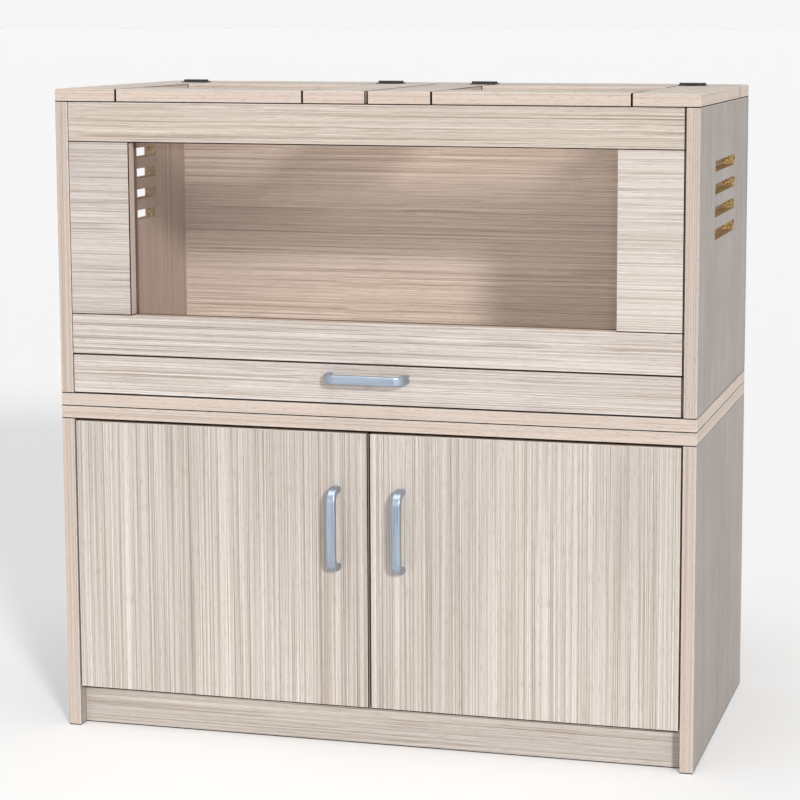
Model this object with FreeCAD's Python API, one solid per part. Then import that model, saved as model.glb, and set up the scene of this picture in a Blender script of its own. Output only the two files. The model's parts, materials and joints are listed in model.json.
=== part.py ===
import FreeCAD, Part
import math
import os

os.makedirs("parts", exist_ok=True)
V = FreeCAD.Vector

# Flat-pack hamster cage: a storage cabinet with two doors carries an enclosure with a window,
# a pull-out tray and two hinged lids. Millimetres, +Z up, the front faces -Y.

# ---------------------------------------------------------------- driving sizes
WIDTH = 800.0            # overall, X
DEPTH = 400.0            # carcass front edge to rear edge, Y
BOARD = 16.0             # melamine-faced board
CABINET_SIDE_H = 395.0   # cabinet side panel
CAGE_SIDE_H = 362.0      # enclosure side panel
ARRIS = 0.6              # broken edge on every board

PLINTH_H = 50.0
PLINTH_RECESS = 18.0
BACK_T = 3.0             # hardboard back of the cabinet
BACK_INSET = 10.0
BACK_GROOVE = 6.0
GROOVE_FIT = 0.3         # extra width of a groove over the sheet in it

RAIL_H = 50.0            # rails over and under the window
DRAWER_H = 50.0          # height of the tray's mouth
WINDOW_SIDE_W = 80.0     # front panel beside the window
RAIL_END_GAP = 1.0       # rail and panel ends to the side panels
DOWEL_R = 4.0
DOWEL_L = 30.0
DOWEL_IN = 12.0          # dowel depth in the side panel
DOWEL_EDGE = 12.0        # dowel centre from the piece's upper or lower edge

LID_STILE = 80.0         # stiles and rails of a lid frame
REAR_RAIL = 80.0         # fixed board behind the lids
LID_GAP = 2.0            # between the two lids
HINGE_GAP = 1.5          # between a lid and the rear rail

DOOR_SIDE_GAP = 2.5
DOOR_MEET_GAP = 2.0
DOOR_TOP_GAP = 2.5
DOOR_LAP = 0.5           # door bottom edge above the plinth top
BOTTOM_CLEAR = 1.5       # bottom board to the door's swinging edge

SLOTS = 4
SLOT_L = 160.0
SLOT_H = 13.0
SLOT_PITCH = 27.5
SLOT_TOP = 74.5          # enclosure top edge to the centre of the first slot
SLOT_R = 2.0

PANE_T = 3.0
CHANNEL_W = 12.0
CHANNEL_D = 9.0
CHANNEL_GRIP = 6.0
PANE_FIT = 0.2           # pane to channel wall, each side

MESH_WIRE = 1.2
MESH_PITCH = 12.0
MESH_LAP = 12.0          # rebate around the lid opening
MESH_REBATE = 3.0

TRAY_WALL = 12.0
TRAY_HEADROOM = 8.0      # tray wall's top edge below the rail over it
TRAY_FLOOR = 4.0
TRAY_FLOOR_UP = 4.0      # tray floor above the wall's lower edge
TRAY_SIDE_FIT = 3.0
TRAY_LIFT = 0.3          # tray wall over the base board
TRAY_REAR_GAP = 4.0
FRONT_GAP = 1.0          # drawer front to the boards over and under it
FRONT_SIDE_GAP = 1.5

HANDLE_CC = 96.0
HANDLE_LEG = 8.0
HANDLE_W = 11.0
HANDLE_REACH = 25.0
HANDLE_BEND = 17.0
HANDLE_ROUND = 2.0
DOOR_HANDLE_IN = 40.0    # handle centre from the door's free edge
DOOR_HANDLE_Z = 275.0
TRAY_HANDLE_DOWN = 15.0  # handle centre below the drawer front's top edge

LID_HINGE_L = 34.0
LID_HINGE_IN = 63.0      # hinge centre from the lid's inner edge
LID_HINGE_OUT = 61.0     # and from its outer edge
LID_LEAF_W = 14.0
LID_LEAF_T = 1.2
KNUCKLE_R = 2.0
KNUCKLES = 5
LID_PIN_R = 1.0
PIN_FIT = 0.05           # radial running clearance on a hinge pin
END_FIT = 0.2            # between neighbouring knuckles

CUP_R = 17.5
CUP_FIT = 0.05
CUP_SKIN = 3.3           # board left in front of the cup
CUP_IN = 22.5            # cup centre from the door's hinge edge
CUP_WALL = 0.85
CUP_FLOOR = 0.7
FLANGE_T = 1.2
CORNER_FIT = 0.85        # door corner to cabinet side as it swings past
DOOR_OPEN = 95.0         # degrees
DOOR_PIN_R = 1.25
EYE_R = 2.7
EYE_FIT = 0.3            # eye to cup floor
ARM_T = 3.0
ARM_W = 10.0
ARM_CLEAR = 1.8          # arm to the door's swinging edge
PLATE_T = 2.5
PLATE_L = 40.0
PLATE_H = 32.0
PLATE_BACK = 8.0         # plate behind the closed door
PLATE_SCREW_IN = 13.0    # screws from the plate's front end
PLATE_SCREW_CC = 22.0
FLANGE_SCREW_OUT = 6.5   # cup rim to screw centre
FLANGE_END = 7.0         # screw centre to flange end
DOOR_HINGE_END = 75.0    # hinge centre from the door's top or bottom edge

SCREW_R = 1.3            # wood screw core
SCREW_HEAD_R = 2.5
SCREW_L = 12.0
BOLT_R = 2.0             # handle bolt
BOLT_HEAD_R = 4.0
BOLT_HEAD_T = 2.5
HOLE_FIT = 0.05

# ---------------------------------------------------------------- derived positions
FRONT = -(DEPTH + HANDLE_REACH) / 2 + HANDLE_REACH
REAR = FRONT + DEPTH
HALF = WIDTH / 2
INNER = HALF - BOARD
CAB_TOP = CABINET_SIDE_H + BOARD
CAGE_FLOOR = CAB_TOP + BOARD
CAGE_TOP = CAGE_FLOOR + CAGE_SIDE_H
TOP = CAGE_TOP + BOARD
RAIL_LOW = CAGE_FLOOR + DRAWER_H
WINDOW_LOW = RAIL_LOW + RAIL_H
WINDOW_HIGH = CAGE_TOP - RAIL_H + 1.0
WINDOW_HALF = INNER - WINDOW_SIDE_W
BACK_FACE = REAR - BOARD
HINGE_Y = REAR - REAR_RAIL - HINGE_GAP / 2
HINGE_Z = TOP + KNUCKLE_R
DOOR_LOW = PLINTH_H + DOOR_LAP
DOOR_HIGH = CABINET_SIDE_H - DOOR_TOP_GAP
PANE_Y = FRONT + BOARD + CHANNEL_D / 2 - PANE_T / 2
LEAVE = 0.5              # how far a cutter runs past a face
CUP_DEEP = BOARD - CUP_SKIN
PIVOT_DEEP = CUP_SKIN + CUP_FLOOR + EYE_R + EYE_FIT
swing_room = DOOR_SIDE_GAP - CORNER_FIT
PIVOT_IN = (PIVOT_DEEP ** 2 - swing_room ** 2) / (2 * swing_room)
BACK_IN = BOARD - PIVOT_DEEP
SWING = math.hypot(PIVOT_IN, BACK_IN)  # pivot to the door's rear corner
LID_HINGE_X = (LID_GAP / 2 + LID_HINGE_IN, HALF - LID_HINGE_OUT)


# ---------------------------------------------------------------- helpers
def box(x0, x1, y0, y1, z0, z1):
    return Part.makeBox(x1 - x0, y1 - y0, z1 - z0, V(x0, y0, z0))


def board(x0, x1, y0, y1, z0, z1):
    plain = box(x0, x1, y0, y1, z0, z1)
    return plain.makeChamfer(ARRIS, plain.Edges)


def rod(r, length, at, along):
    return Part.makeCylinder(r, length, at, along)


def fuse(shapes):
    return shapes[0].multiFuse(shapes[1:]).removeSplitter() if len(shapes) > 1 else shapes[0]


def group(shapes):
    return Part.makeCompound(shapes)


def save(name, shape):
    shape.exportStep("parts/" + name + ".step")


def mirror_x(shape):
    return shape.mirror(V(0, 0, 0), V(1, 0, 0))


def wood_screw(at, into):
    head = Part.makeCone(SCREW_HEAD_R, SCREW_R, LID_LEAF_T, at, into)
    shank = rod(SCREW_R, SCREW_L, at, into)
    return head.fuse(shank).removeSplitter()


def wood_screw_hole(at, into):
    back = at - into * LEAVE
    return rod(SCREW_R + HOLE_FIT, SCREW_L + LEAVE + 1.0, back, into)


def countersink(at, into, thick):
    back = at - into * LEAVE
    neck = rod(SCREW_R + HOLE_FIT, thick + 2 * LEAVE, back, into)
    cone = Part.makeCone(SCREW_HEAD_R + HOLE_FIT, SCREW_R + HOLE_FIT, LID_LEAF_T, at, into)
    return neck.fuse(cone)


# ---------------------------------------------------------------- storage cabinet
groove_y0 = REAR - BACK_INSET - BACK_T - GROOVE_FIT
groove_y1 = REAR - BACK_INSET
back_groove = box(
    -INNER - BACK_GROOVE, INNER + BACK_GROOVE, groove_y0, groove_y1,
    PLINTH_H + BOARD - BACK_GROOVE, CABINET_SIDE_H + BACK_GROOVE)

hinge_heights = (DOOR_LOW + DOOR_HINGE_END, DOOR_HIGH - DOOR_HINGE_END)
PLATE_Y0 = FRONT + BOARD + PLATE_BACK
PLATE_Y1 = PLATE_Y0 + PLATE_L
PLATE_SCREW_Y = PLATE_Y0 + PLATE_SCREW_IN
plate_screws = []
for z in hinge_heights:
    for dz in (-PLATE_SCREW_CC / 2, PLATE_SCREW_CC / 2):
        plate_screws.append(V(-INNER + PLATE_T, PLATE_SCREW_Y, z + dz))

side = board(-HALF, -INNER, FRONT, REAR, 0, CABINET_SIDE_H)
side = side.cut(back_groove)
for at in plate_screws:
    side = side.cut(wood_screw_hole(at, V(-1, 0, 0)))
save("cabinet_side_left", side)
save("cabinet_side_right", mirror_x(side))

bottom_front = FRONT + PIVOT_DEEP + SWING + BOTTOM_CLEAR
bottom = board(-INNER, INNER, bottom_front, REAR, PLINTH_H, PLINTH_H + BOARD)
save("cabinet_bottom", bottom.cut(back_groove))
save("cabinet_plinth", board(
    -INNER, INNER, FRONT + PLINTH_RECESS, FRONT + PLINTH_RECESS + BOARD, 0, PLINTH_H))
top = board(-HALF, HALF, FRONT, REAR, CABINET_SIDE_H, CAB_TOP)
save("cabinet_top", top.cut(back_groove))
sheet = GROOVE_FIT / 2
save("cabinet_back", box(
    -INNER - BACK_GROOVE + sheet, INNER + BACK_GROOVE - sheet,
    groove_y0 + sheet, groove_y1 - sheet,
    PLINTH_H + BOARD - BACK_GROOVE + sheet, CABINET_SIDE_H + BACK_GROOVE - sheet))

# ---------------------------------------------------------------- enclosure carcass
save("cage_base", board(-HALF, HALF, FRONT, REAR, CAB_TOP, CAGE_FLOOR))

cage_side = board(-HALF, -INNER, FRONT, REAR, CAGE_FLOOR, CAGE_TOP)
slot_y = (FRONT + REAR - SLOT_L) / 2
front_heights = ((RAIL_LOW, WINDOW_LOW), (WINDOW_LOW, WINDOW_HIGH), (WINDOW_HIGH, CAGE_TOP))
dowel_points = []
for low, high in front_heights:
    for z in (low + DOWEL_EDGE, high - DOWEL_EDGE):
        dowel_points.append(V(-INNER - DOWEL_IN, FRONT + BOARD / 2, z))


def doweled(shape):
    for at in dowel_points:
        hole = rod(DOWEL_R + HOLE_FIT, DOWEL_L + LEAVE, at - V(LEAVE / 2, 0, 0), V(1, 0, 0))
        shape = shape.cut(hole)
    return shape


for i in range(SLOTS):
    z = CAGE_TOP - SLOT_TOP - i * SLOT_PITCH
    cutter = box(-HALF - LEAVE, -INNER + LEAVE, slot_y, slot_y + SLOT_L,
                 z - SLOT_H / 2, z + SLOT_H / 2)
    along_x = [e for e in cutter.Edges if abs(e.tangentAt(e.FirstParameter).x) > 0.9]
    cage_side = cage_side.cut(cutter.makeFillet(SLOT_R, along_x))
cage_side = doweled(cage_side)
save("cage_side_left", cage_side)
save("cage_side_right", mirror_x(cage_side))

save("cage_back", board(-INNER, INNER, BACK_FACE, REAR, CAGE_FLOOR, CAGE_TOP))
rail_half = INNER - RAIL_END_GAP
rails = (("cage_top_rail", WINDOW_HIGH, CAGE_TOP), ("cage_bottom_rail", RAIL_LOW, WINDOW_LOW))
for name, low, high in rails:
    rail = board(-rail_half, rail_half, FRONT, FRONT + BOARD, low, high)
    save(name, mirror_x(doweled(mirror_x(doweled(rail)))))
panel = doweled(board(-rail_half, -WINDOW_HALF, FRONT, FRONT + BOARD, WINDOW_LOW, WINDOW_HIGH))
save("cage_front_panel_left", panel)
save("cage_front_panel_right", mirror_x(panel))
dowels = [rod(DOWEL_R, DOWEL_L, at, V(1, 0, 0)) for at in dowel_points]
save("front_dowels", group(dowels + [mirror_x(d) for d in dowels]))

# window pane and the three grooved channels that hold it
behind = FRONT + BOARD
groove_a = PANE_Y - PANE_FIT
groove_b = PANE_Y + PANE_T + PANE_FIT
groove_deep = CHANNEL_GRIP + PANE_FIT
post = box(-WINDOW_HALF - CHANNEL_W, -WINDOW_HALF, behind, behind + CHANNEL_D,
           WINDOW_LOW - CHANNEL_W, CAGE_TOP - 2.0)
post = post.cut(box(-WINDOW_HALF - groove_deep, -WINDOW_HALF + LEAVE, groove_a, groove_b,
                    WINDOW_LOW - groove_deep, CAGE_TOP))
save("window_channel_left", post)
save("window_channel_right", mirror_x(post))
sill = box(-WINDOW_HALF, WINDOW_HALF, behind, behind + CHANNEL_D,
           WINDOW_LOW - CHANNEL_W, WINDOW_LOW)
sill = sill.cut(box(-WINDOW_HALF - LEAVE, WINDOW_HALF + LEAVE, groove_a, groove_b,
                    WINDOW_LOW - groove_deep, WINDOW_LOW + LEAVE))
save("window_channel_bottom", sill)
save("window_pane", box(
    -WINDOW_HALF - CHANNEL_GRIP, WINDOW_HALF + CHANNEL_GRIP, PANE_Y, PANE_Y + PANE_T,
    WINDOW_LOW - CHANNEL_GRIP, CAGE_TOP - 1.5))

# ---------------------------------------------------------------- lid hinges
# Surface butt hinges on the top face, knuckles up, their axis over the lid's rear seam.
SCREW_DX = 10.0
SCREW_DY = 8.5
knuckle_l = LID_HINGE_L / KNUCKLES


def lid_screw_points(x, toward):
    y = HINGE_Y + toward * SCREW_DY
    return [V(x - SCREW_DX, y, TOP + LID_LEAF_T), V(x + SCREW_DX, y, TOP + LID_LEAF_T)]


def lid_leaf(x, toward, owned):
    x0 = x - LID_HINGE_L / 2
    near = KNUCKLE_R + 0.4
    if toward > 0:
        leaf = box(x0, x0 + LID_HINGE_L, HINGE_Y + near, HINGE_Y + LID_LEAF_W, TOP, TOP + LID_LEAF_T)
    else:
        leaf = box(x0, x0 + LID_HINGE_L, HINGE_Y - LID_LEAF_W, HINGE_Y - near, TOP, TOP + LID_LEAF_T)
    corners = [e for e in leaf.Edges if abs(e.tangentAt(e.FirstParameter).z) > 0.9
               and abs(e.CenterOfMass.y - HINGE_Y) > LID_LEAF_W - 1.0]
    pieces = [leaf.makeFillet(2.0, corners)]
    for i in owned:
        a = x0 + i * knuckle_l + (END_FIT / 2 if i else 0)
        b = x0 + (i + 1) * knuckle_l - (END_FIT / 2 if i < KNUCKLES - 1 else 0)
        pieces.append(rod(KNUCKLE_R, b - a, V(a, HINGE_Y, HINGE_Z), V(1, 0, 0)))
        lo = min(HINGE_Y, HINGE_Y + toward * (near + 1.0))
        hi = max(HINGE_Y, HINGE_Y + toward * (near + 1.0))
        pieces.append(box(a, b, lo, hi, TOP, TOP + LID_LEAF_T))
    leaf = fuse(pieces)
    hole_r = LID_PIN_R + PIN_FIT
    leaf = leaf.cut(rod(hole_r, LID_HINGE_L + 2, V(x0 - 1, HINGE_Y, HINGE_Z), V(1, 0, 0)))
    for at in lid_screw_points(x, toward):
        leaf = leaf.cut(countersink(at, V(0, 0, -1), LID_LEAF_T))
    return leaf


def lid_pin(x):
    start = V(x - LID_HINGE_L / 2, HINGE_Y, HINGE_Z)
    return rod(LID_PIN_R, LID_HINGE_L, start, V(1, 0, 0))


def each(points, make, into):
    return [make(at, into) for at in points]


outer_knuckles = range(0, KNUCKLES, 2)
inner_knuckles = range(1, KNUCKLES, 2)
down = V(0, 0, -1)
fixed_points = []
moving_points = []
for x in LID_HINGE_X:
    fixed_points += lid_screw_points(x, 1)
    moving_points += lid_screw_points(x, -1)

fixed_leaves = [lid_leaf(x, 1, outer_knuckles) for x in LID_HINGE_X]
fixed_hinge = group(fixed_leaves + [lid_pin(x) for x in LID_HINGE_X])
fixed_screws = each(fixed_points, wood_screw, down)
save("lid_hinge_base_right", fixed_hinge)
save("lid_hinge_base_left", mirror_x(fixed_hinge))
save("lid_hinge_base_screws", group(fixed_screws + [mirror_x(s) for s in fixed_screws]))

rear_rail = board(-HALF, HALF, REAR - REAR_RAIL, REAR, CAGE_TOP, TOP)
for at in fixed_points:
    hole = wood_screw_hole(at, down)
    rear_rail = rear_rail.cut(hole).cut(mirror_x(hole))
save("lid_rear_rail", rear_rail)

# ---------------------------------------------------------------- lids
# Each lid is a frame of two stiles and two rails round a wire mesh let in from below.
lid_x0 = LID_GAP / 2
lid_y1 = REAR - REAR_RAIL - HINGE_GAP
open_x0 = LID_STILE
open_x1 = HALF - LID_STILE
open_y0 = FRONT + LID_STILE
open_y1 = lid_y1 - LID_STILE
rebate = box(open_x0 - MESH_LAP, open_x1 + MESH_LAP, open_y0 - MESH_LAP, open_y1 + MESH_LAP,
             CAGE_TOP - LEAVE, CAGE_TOP + MESH_REBATE)
lid_parts = {
    "stile_inner": board(lid_x0, open_x0, FRONT, lid_y1, CAGE_TOP, TOP),
    "stile_outer": board(open_x1, HALF, FRONT, lid_y1, CAGE_TOP, TOP),
    "rail_front": board(open_x0, open_x1, FRONT, open_y0, CAGE_TOP, TOP),
    "rail_rear": board(open_x0, open_x1, open_y1, lid_y1, CAGE_TOP, TOP),
}
for name, piece in lid_parts.items():
    piece = piece.cut(rebate)
    for at in moving_points:
        piece = piece.cut(wood_screw_hole(at, down))
    save("lid_right_" + name, piece)
    save("lid_left_" + name, mirror_x(piece))

# welded mesh: long wires over cross wires, sunk into each other by a sixth of a wire
mesh_x0 = open_x0 - MESH_LAP + 1.0
mesh_x1 = open_x1 + MESH_LAP - 1.0
mesh_y0 = open_y0 - MESH_LAP + 1.0
mesh_y1 = open_y1 + MESH_LAP - 1.0
wire_r = MESH_WIRE / 2
upper_z = CAGE_TOP + MESH_REBATE - wire_r - 0.1
lower_z = upper_z - MESH_WIRE * 5 / 6
wires = []
count_x = int((mesh_x1 - mesh_x0 - MESH_WIRE) / MESH_PITCH)
count_y = int((mesh_y1 - mesh_y0 - MESH_WIRE) / MESH_PITCH)
step_x = (mesh_x1 - mesh_x0 - MESH_WIRE) / count_x
step_y = (mesh_y1 - mesh_y0 - MESH_WIRE) / count_y
for i in range(count_x + 1):
    x = mesh_x0 + wire_r + i * step_x
    wires.append(rod(wire_r, mesh_y1 - mesh_y0, V(x, mesh_y0, lower_z), V(0, 1, 0)))
for i in range(count_y + 1):
    y = mesh_y0 + wire_r + i * step_y
    wires.append(rod(wire_r, mesh_x1 - mesh_x0, V(mesh_x0, y, upper_z), V(1, 0, 0)))
mesh = wires[0].multiFuse(wires[1:])
save("lid_right_mesh", mesh)
save("lid_left_mesh", mirror_x(mesh))

moving_leaves = group([lid_leaf(x, -1, inner_knuckles) for x in LID_HINGE_X])
moving_screws = group(each(moving_points, wood_screw, down))
save("lid_right_hinge_leaves", moving_leaves)
save("lid_left_hinge_leaves", mirror_x(moving_leaves))
save("lid_right_hinge_screws", moving_screws)
save("lid_left_hinge_screws", mirror_x(moving_screws))


# ---------------------------------------------------------------- bow handles
def handle():
    """A bent flat bar along Z, feet on the plane y = 0, standing out towards -Y."""
    out = HANDLE_CC / 2 + HANDLE_LEG / 2
    inn = out - HANDLE_LEG
    reach = HANDLE_REACH
    r_in = HANDLE_BEND - HANDLE_LEG
    deep = reach - HANDLE_LEG
    s = math.sqrt(0.5)

    def arc(cy, cz, r, sz):
        return Part.Arc(V(0, cy, cz + sz * r), V(0, cy - s * r, cz + sz * s * r), V(0, cy - r, cz))

    co = reach - HANDLE_BEND
    zo = out - HANDLE_BEND
    edges = [
        Part.makeLine(V(0, 0, inn), V(0, 0, out)),
        Part.makeLine(V(0, 0, out), V(0, -co, out)),
        arc(-co, zo, HANDLE_BEND, 1).toShape(),
        Part.makeLine(V(0, -reach, zo), V(0, -reach, -zo)),
        arc(-co, -zo, HANDLE_BEND, -1).toShape(),
        Part.makeLine(V(0, -co, -out), V(0, 0, -out)),
        Part.makeLine(V(0, 0, -out), V(0, 0, -inn)),
        Part.makeLine(V(0, 0, -inn), V(0, -co, -inn)),
        arc(-co, -zo, r_in, -1).toShape(),
        Part.makeLine(V(0, -deep, -zo), V(0, -deep, zo)),
        arc(-co, zo, r_in, 1).toShape(),
        Part.makeLine(V(0, -co, inn), V(0, 0, inn)),
    ]
    face = Part.Face(Part.Wire(Part.__sortEdges__(edges)))
    bar = face.extrude(V(HANDLE_W, 0, 0))
    bar.translate(V(-HANDLE_W / 2, 0, 0))
    rims = [e for e in bar.Edges if abs(abs(e.CenterOfMass.x) - HANDLE_W / 2) < 0.01
            and e.BoundBox.YMin < -0.5]
    bar = bar.makeFillet(HANDLE_ROUND, rims)
    for sz in (-1, 1):
        bore = rod(BOLT_R + HOLE_FIT, 12.0 + LEAVE, V(0, LEAVE, sz * HANDLE_CC / 2), V(0, -1, 0))
        bar = bar.cut(bore)
    return bar


def handle_bolts():
    made = []
    for sz in (-1, 1):
        z = sz * HANDLE_CC / 2
        shank = rod(BOLT_R, BOARD + 11.0, V(0, BOARD, z), V(0, -1, 0))
        head = rod(BOLT_HEAD_R, BOLT_HEAD_T, V(0, BOARD, z), V(0, 1, 0))
        rim = [e for e in head.Edges if e.CenterOfMass.y > BOARD + BOLT_HEAD_T - 0.1
               and e.Length > BOLT_HEAD_R]
        made.append(head.makeFillet(1.0, rim).fuse(shank).removeSplitter())
    return group(made)


def handle_holes():
    made = []
    for sz in (-1, 1):
        start = V(0, -LEAVE, sz * HANDLE_CC / 2)
        made.append(rod(BOLT_R + 0.3, BOARD + 2 * LEAVE, start, V(0, 1, 0)))
    return made[0].fuse(made[1])


def placed(shape, x, z, lying):
    shape = shape.copy()
    if lying:
        shape.rotate(V(0, 0, 0), V(0, 1, 0), 90)
    shape.translate(V(x, FRONT, z))
    return shape


# ---------------------------------------------------------------- pull-out tray
front_low = CAGE_FLOOR + FRONT_GAP
front_high = RAIL_LOW - FRONT_GAP
front_half = INNER - FRONT_SIDE_GAP
tray_low = CAGE_FLOOR + TRAY_LIFT
tray_high = RAIL_LOW - TRAY_HEADROOM
tray_half = INNER - TRAY_SIDE_FIT
tray_y0 = FRONT + BOARD
tray_y1 = BACK_FACE - TRAY_REAR_GAP
floor_low = tray_low + TRAY_FLOOR_UP
sheet_in = TRAY_WALL / 2
floor_groove = box(
    -tray_half + sheet_in, tray_half - sheet_in, tray_y0 - sheet_in, tray_y1 - sheet_in,
    floor_low, floor_low + TRAY_FLOOR + GROOVE_FIT)
handle_z = front_high - TRAY_HANDLE_DOWN

tray_front = board(-front_half, front_half, FRONT, tray_y0, front_low, front_high)
tray_front = tray_front.cut(floor_groove).cut(placed(handle_holes(), 0, handle_z, True))
save("tray_front", tray_front)
tray_side = board(-tray_half, -tray_half + TRAY_WALL, tray_y0, tray_y1, tray_low, tray_high)
tray_side = tray_side.cut(floor_groove)
save("tray_side_left", tray_side)
save("tray_side_right", mirror_x(tray_side))
tray_back = board(-tray_half + TRAY_WALL, tray_half - TRAY_WALL, tray_y1 - TRAY_WALL, tray_y1,
                  tray_low, tray_high)
save("tray_back", tray_back.cut(floor_groove))
fit = GROOVE_FIT / 2
save("tray_floor", box(
    -tray_half + sheet_in + fit, tray_half - sheet_in - fit,
    tray_y0 - sheet_in + fit, tray_y1 - sheet_in - fit,
    floor_low + fit, floor_low + fit + TRAY_FLOOR))
save("tray_handle", placed(handle(), 0, handle_z, True))
save("tray_handle_bolts", placed(handle_bolts(), 0, handle_z, True))

# ---------------------------------------------------------------- doors and concealed hinges
# Each door turns on pins set across steel cups in its back face. A hooked arm screwed to the
# cabinet side reaches into the cup and holds the pin in its eye.
door_edge = -INNER + DOOR_SIDE_GAP
door_free = -DOOR_MEET_GAP / 2
cup_x = door_edge + CUP_IN
pivot_x = door_edge + PIVOT_IN
pivot_y = FRONT + PIVOT_DEEP
door_back = FRONT + BOARD
back_y = V(0, 1, 0)
FLANGE_SCREW_Z = CUP_R + FLANGE_SCREW_OUT
FLANGE_HALF_Z = FLANGE_SCREW_Z + FLANGE_END
FLANGE_X0 = cup_x - 10.0
FLANGE_X1 = cup_x + 11.0

door = board(door_edge, door_free, FRONT, door_back, DOOR_LOW, DOOR_HIGH)
cups = []
cup_screws = []
arms = []
for z in hinge_heights:
    door = door.cut(rod(CUP_R, CUP_DEEP + LEAVE, V(cup_x, door_back - CUP_DEEP, z), back_y))
    flange = box(FLANGE_X0, FLANGE_X1, door_back, door_back + FLANGE_T,
                 z - FLANGE_HALF_Z, z + FLANGE_HALF_Z)
    flange = flange.makeFillet(4.0, [e for e in flange.Edges
                                     if abs(e.tangentAt(e.FirstParameter).y) > 0.9])
    shell = rod(CUP_R - CUP_FIT, CUP_DEEP + FLANGE_T, V(cup_x, door_back - CUP_DEEP, z), back_y)
    hollow = rod(CUP_R - CUP_FIT - CUP_WALL, CUP_DEEP + FLANGE_T,
                 V(cup_x, door_back - CUP_DEEP + CUP_FLOOR, z), back_y)
    cup = flange.fuse(shell).cut(hollow)
    pin_side = abs(cup_x - pivot_x) + DOOR_PIN_R
    pin_half = math.sqrt((CUP_R - CUP_FIT - PIN_FIT) ** 2 - pin_side ** 2)
    pin = rod(DOOR_PIN_R, 2 * pin_half, V(pivot_x, pivot_y, z - pin_half), V(0, 0, 1))
    for dz in (-FLANGE_SCREW_Z, FLANGE_SCREW_Z):
        at = V(cup_x, door_back + FLANGE_T, z + dz)
        cup = cup.cut(countersink(at, V(0, -1, 0), FLANGE_T))
        door = door.cut(wood_screw_hole(at, V(0, -1, 0)))
        cup_screws.append(wood_screw(at, V(0, -1, 0)))
    cups.append(cup.fuse(pin).removeSplitter())

    # hooked arm: eye, tongue into the room, leg clear of the door's swinging corner, mount
    turned = math.radians(DOOR_OPEN)
    leg_x = pivot_x + BACK_IN * math.sin(turned) - PIVOT_IN * math.cos(turned) + ARM_CLEAR
    turn_y = pivot_y + SWING + ARM_CLEAR
    zc = z - ARM_W / 2
    z1 = z + ARM_W / 2
    eye = rod(EYE_R, ARM_W, V(pivot_x, pivot_y, zc), V(0, 0, 1))
    tongue = box(pivot_x, leg_x + ARM_T, pivot_y - ARM_T / 2, pivot_y + ARM_T / 2, zc, z1)
    leg = box(leg_x, leg_x + ARM_T, pivot_y - ARM_T / 2, turn_y + ARM_T, zc, z1)
    bridge = box(-INNER + 1.0, leg_x + ARM_T, turn_y, turn_y + ARM_T, zc, z1)
    spine = box(-INNER + 1.0, -INNER + 9.0, turn_y, PLATE_Y1 - 2.0, z - 6.5, z + 6.5)
    plate = box(-INNER, -INNER + PLATE_T, PLATE_Y0, PLATE_Y1, z - PLATE_H / 2, z + PLATE_H / 2)
    plate = plate.makeFillet(5.0, [e for e in plate.Edges
                                   if abs(e.tangentAt(e.FirstParameter).x) > 0.9])
    arm = fuse([eye, tongue, leg, bridge, spine, plate])
    eye_r = DOOR_PIN_R + PIN_FIT
    arm = arm.cut(rod(eye_r, ARM_W + 2, V(pivot_x, pivot_y, zc - 1), V(0, 0, 1)))
    for dz in (-PLATE_SCREW_CC / 2, PLATE_SCREW_CC / 2):
        at = V(-INNER + PLATE_T, PLATE_SCREW_Y, z + dz)
        arm = arm.cut(countersink(at, V(-1, 0, 0), PLATE_T))
    arms.append(arm)

door_handle_x = door_free - DOOR_HANDLE_IN
door = door.cut(placed(handle_holes(), door_handle_x, DOOR_HANDLE_Z, False))
arm_screws = each(plate_screws, wood_screw, V(-1, 0, 0))
door_parts = {
    "panel": door,
    "handle": placed(handle(), door_handle_x, DOOR_HANDLE_Z, False),
    "handle_bolts": placed(handle_bolts(), door_handle_x, DOOR_HANDLE_Z, False),
    "hinge_cups": group(cups),
    "hinge_screws": group(cup_screws),
}
for name, piece in door_parts.items():
    save("door_left_" + name, piece)
    save("door_right_" + name, mirror_x(piece))
for level, arm in zip(("lower", "upper"), arms):
    save("hinge_arm_left_" + level, arm)
    save("hinge_arm_right_" + level, mirror_x(arm))
save("hinge_arm_screws", group(arm_screws + [mirror_x(s) for s in arm_screws]))
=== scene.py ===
import json
import math

import bpy
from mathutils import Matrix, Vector


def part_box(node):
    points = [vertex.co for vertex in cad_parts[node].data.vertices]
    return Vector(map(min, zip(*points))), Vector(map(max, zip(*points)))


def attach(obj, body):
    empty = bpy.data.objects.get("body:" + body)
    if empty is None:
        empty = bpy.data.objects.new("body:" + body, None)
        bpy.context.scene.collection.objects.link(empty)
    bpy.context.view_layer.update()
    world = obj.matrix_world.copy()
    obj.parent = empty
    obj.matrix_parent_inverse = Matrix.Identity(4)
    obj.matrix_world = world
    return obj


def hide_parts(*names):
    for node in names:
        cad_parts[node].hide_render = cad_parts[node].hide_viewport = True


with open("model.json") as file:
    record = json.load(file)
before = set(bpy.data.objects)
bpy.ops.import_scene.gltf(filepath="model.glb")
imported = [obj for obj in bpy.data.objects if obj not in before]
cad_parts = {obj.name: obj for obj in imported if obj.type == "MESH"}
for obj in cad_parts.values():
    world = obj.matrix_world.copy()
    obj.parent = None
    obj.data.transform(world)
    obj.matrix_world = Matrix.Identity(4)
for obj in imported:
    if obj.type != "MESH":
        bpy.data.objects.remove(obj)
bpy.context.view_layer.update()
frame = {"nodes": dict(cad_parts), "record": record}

# ---------------------------------------------------------------- the studio
# The cage stands on a plain white floor, lit a little from below, that runs back to a white
# room. A key lamp stands to the right of the front, a wide soft one to the left, and another
# hangs overhead. A strip lamp behind the enclosure's top rail lights the inside.
CAMERA_AT = (0.8166, -2.8268, 0.8899)
CAMERA_TURN = 14.39
CAMERA_TILT = -7.40
CAMERA_LENS = 104.3
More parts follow.
